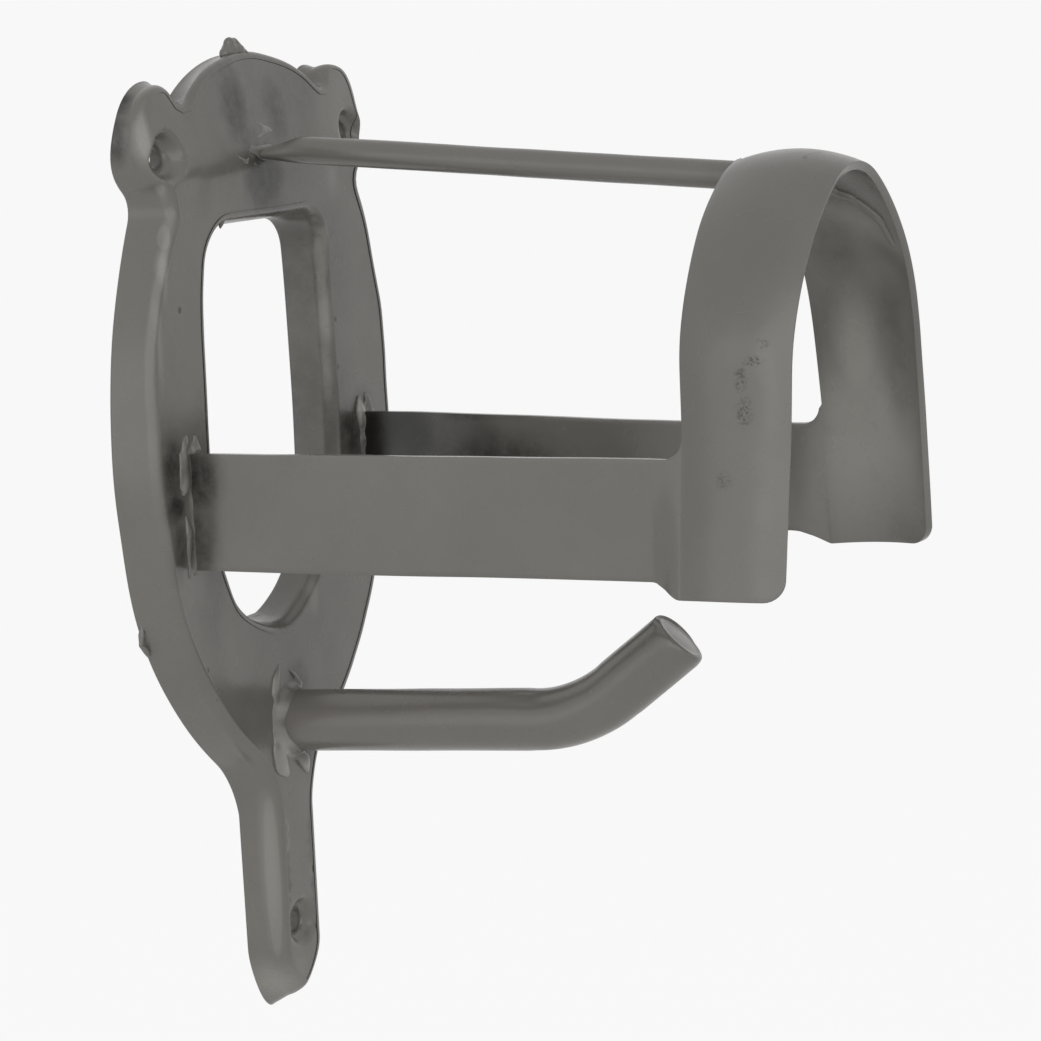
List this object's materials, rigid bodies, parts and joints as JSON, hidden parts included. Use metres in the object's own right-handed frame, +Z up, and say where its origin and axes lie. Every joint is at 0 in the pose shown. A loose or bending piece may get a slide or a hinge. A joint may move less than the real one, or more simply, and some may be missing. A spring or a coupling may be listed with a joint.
{
  "type": "bridle rack",
  "caption": "Wall-mounted pressed steel bridle rack: windowed plate, crowned arch on two arms, tie rod above and an upturned round hook below.",
  "frame": {"origin": "midway between the two upper screw holes, in the plane of the seats of their screws, 8.5 mm out of the wall", "axes": "+Z up, -Y out of the wall towards the user, +X to the right seen from the front"},
  "size_m": [0.1196, 0.172, 0.24],
  "materials": {
    "plate_coat": "satin warm grey dip coat over pressed steel",
    "arch_coat": "satin warm grey dip coat over pressed steel",
    "rod_coat": "satin warm grey dip coat over drawn bar",
    "hook_coat": "satin warm grey dip coat over round bar",
    "bead_coat": "darker grey coat over rough weld beads"
  },
  "bodies": {
    "root": {"wall_plate": "plate_coat", "bridle_arch": "arch_coat", "tie_rod": "rod_coat", "hook": "hook_coat", "left_arm_weld": "bead_coat", "right_arm_weld": "bead_coat", "rod_plate_weld": "bead_coat", "rod_arch_weld": "bead_coat", "hook_weld": "bead_coat"}
  },
  "joints": []
}
